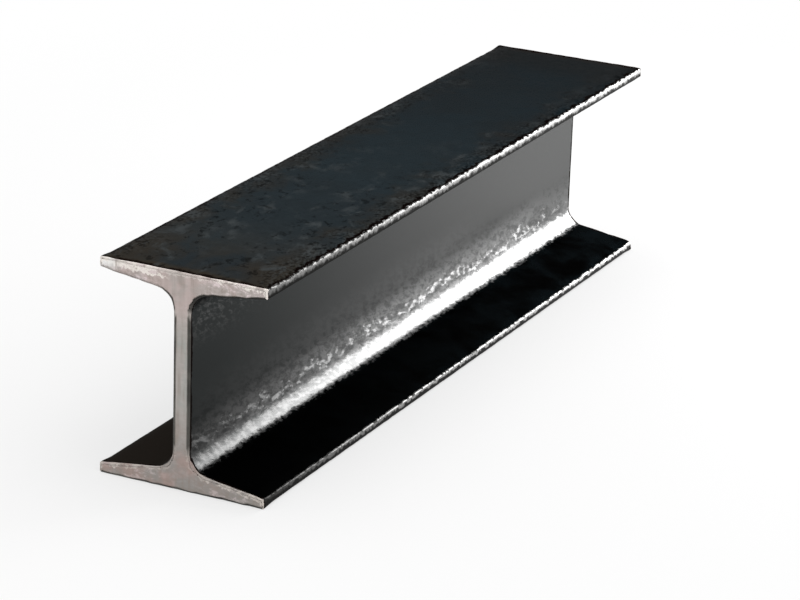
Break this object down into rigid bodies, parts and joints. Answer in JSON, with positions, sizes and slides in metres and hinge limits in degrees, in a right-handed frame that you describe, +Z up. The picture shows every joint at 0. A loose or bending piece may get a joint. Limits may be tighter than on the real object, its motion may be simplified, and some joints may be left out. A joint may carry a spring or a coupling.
{
  "type": "steel h-beam",
  "caption": "Short length of hot-rolled steel beam with wide tapered flanges, rounded roots and square sawn ends, lying on its lower flange.",
  "frame": {"origin": "middle of the underside of the lower flange", "axes": "+X across the flanges, +Y along the beam's length, +Z up the web from the lower flange to the upper one"},
  "size_m": [0.125, 0.614, 0.1524],
  "materials": {
    "mill_scale_steel": "satin"
  },
  "bodies": {
    "root": {"h_beam": "mill_scale_steel"}
  },
  "joints": []
}
